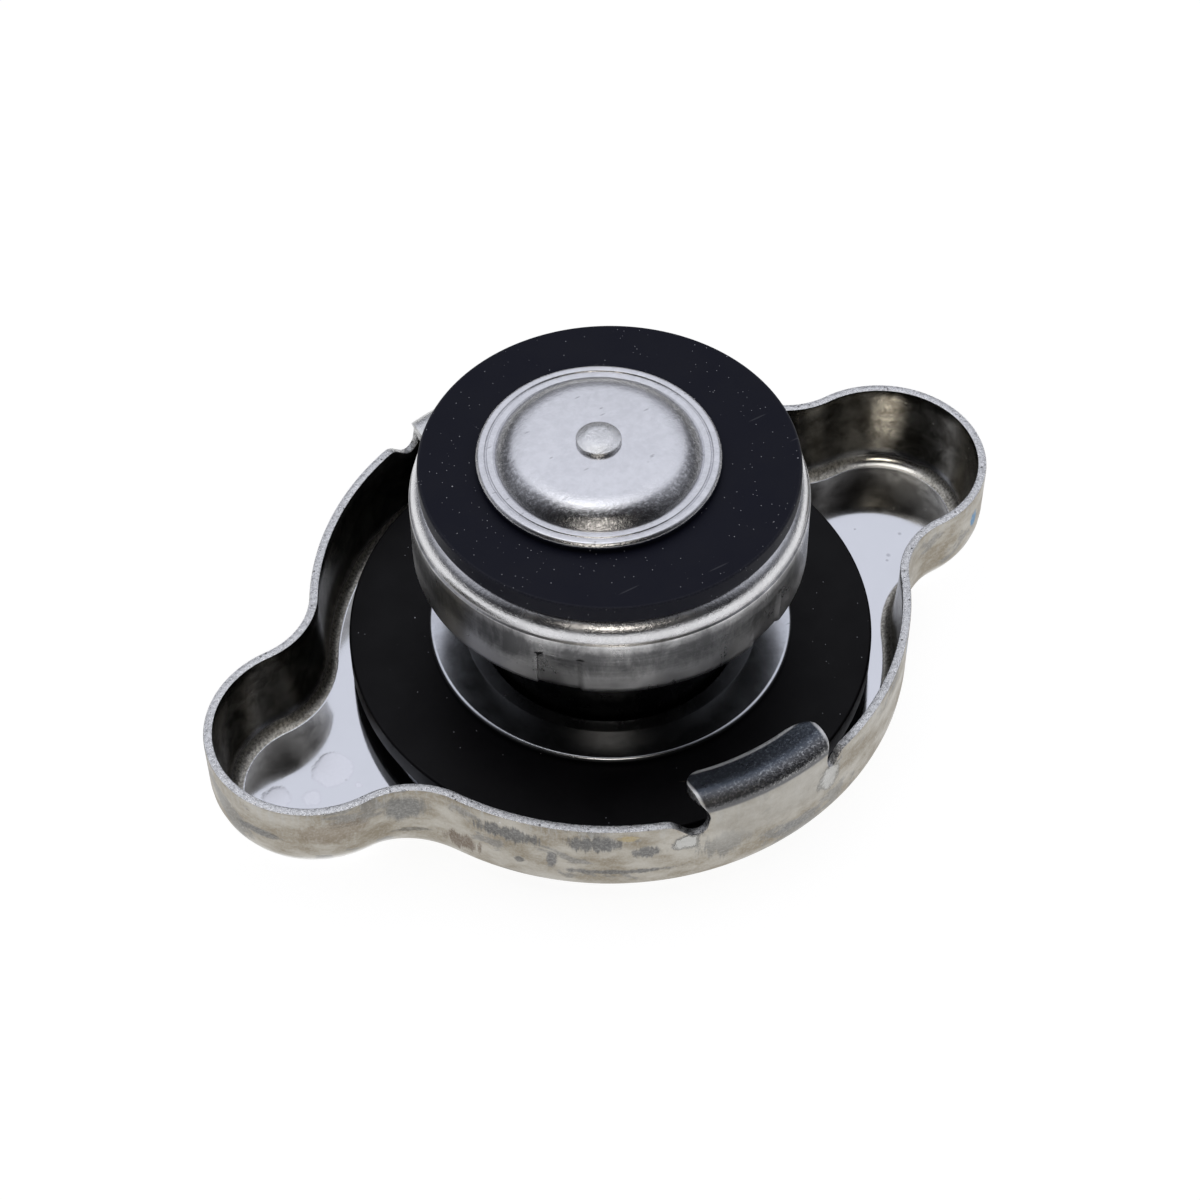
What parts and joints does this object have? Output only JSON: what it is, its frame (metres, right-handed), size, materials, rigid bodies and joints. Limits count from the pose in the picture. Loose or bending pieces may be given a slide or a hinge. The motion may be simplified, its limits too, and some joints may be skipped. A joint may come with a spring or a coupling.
{
  "type": "radiator cap",
  "caption": "Pressed steel cap with finger ears and locking lugs, a rubber gasket and a sprung pressure valve with a small vacuum valve in its middle, for a radiator filler neck.",
  "frame": {"origin": "on the cap's outer face, at the valve's axis, where the cap lies with its valve up", "axes": "+Z along the valve's axis from the outer face to the vacuum valve, +X through one finger ear, Y through the locking lugs"},
  "size_m": [0.0672, 0.0458, 0.0252],
  "materials": {
    "plated_shell": "worn plated sheet steel",
    "plated_cup": "plated sheet steel with a fine drawn grain",
    "bright_plate": "bright plated sheet",
    "spring_steel": "drawn spring steel",
    "rivet_steel": "satin plated rivet",
    "gasket_rubber": "smooth black rubber",
    "seal_rubber": "dusty blue-black rubber"
  },
  "bodies": {
    "cap_shell": {"shell": "plated_shell"},
    "valve_carrier": {"swivel_rivet": "rivet_steel", "spring_disc": "spring_steel", "upper_gasket": "gasket_rubber", "gasket_retainer": "bright_plate", "spring_holder": "bright_plate", "pressure_spring": "spring_steel"},
    "pressure_valve": {"valve_cup": "plated_cup", "pressure_seal": "seal_rubber", "vacuum_spring": "spring_steel"},
    "vacuum_valve": {"vacuum_disc": "bright_plate", "vacuum_stem": "rivet_steel", "stem_washer": "bright_plate"}
  },
  "joints": [
    {"name": "shell_swivel", "type": "hinge", "parent": "cap_shell", "child": "valve_carrier", "pos_m": [0, 0, 0.0014], "axis": [0, 0, 1], "continuous": true},
    {"name": "pressure_lift", "type": "slide", "parent": "valve_carrier", "child": "pressure_valve", "axis": [0, 0, -1], "range_m": [0, 0.0033], "stiffness_N_per_m": 2000, "deforming": ["pressure_spring"]},
    {"name": "vacuum_lift", "type": "slide", "parent": "pressure_valve", "child": "vacuum_valve", "axis": [0, 0, 1], "range_m": [0, 0.0016], "stiffness_N_per_m": 100, "deforming": ["vacuum_spring"]}
  ]
}
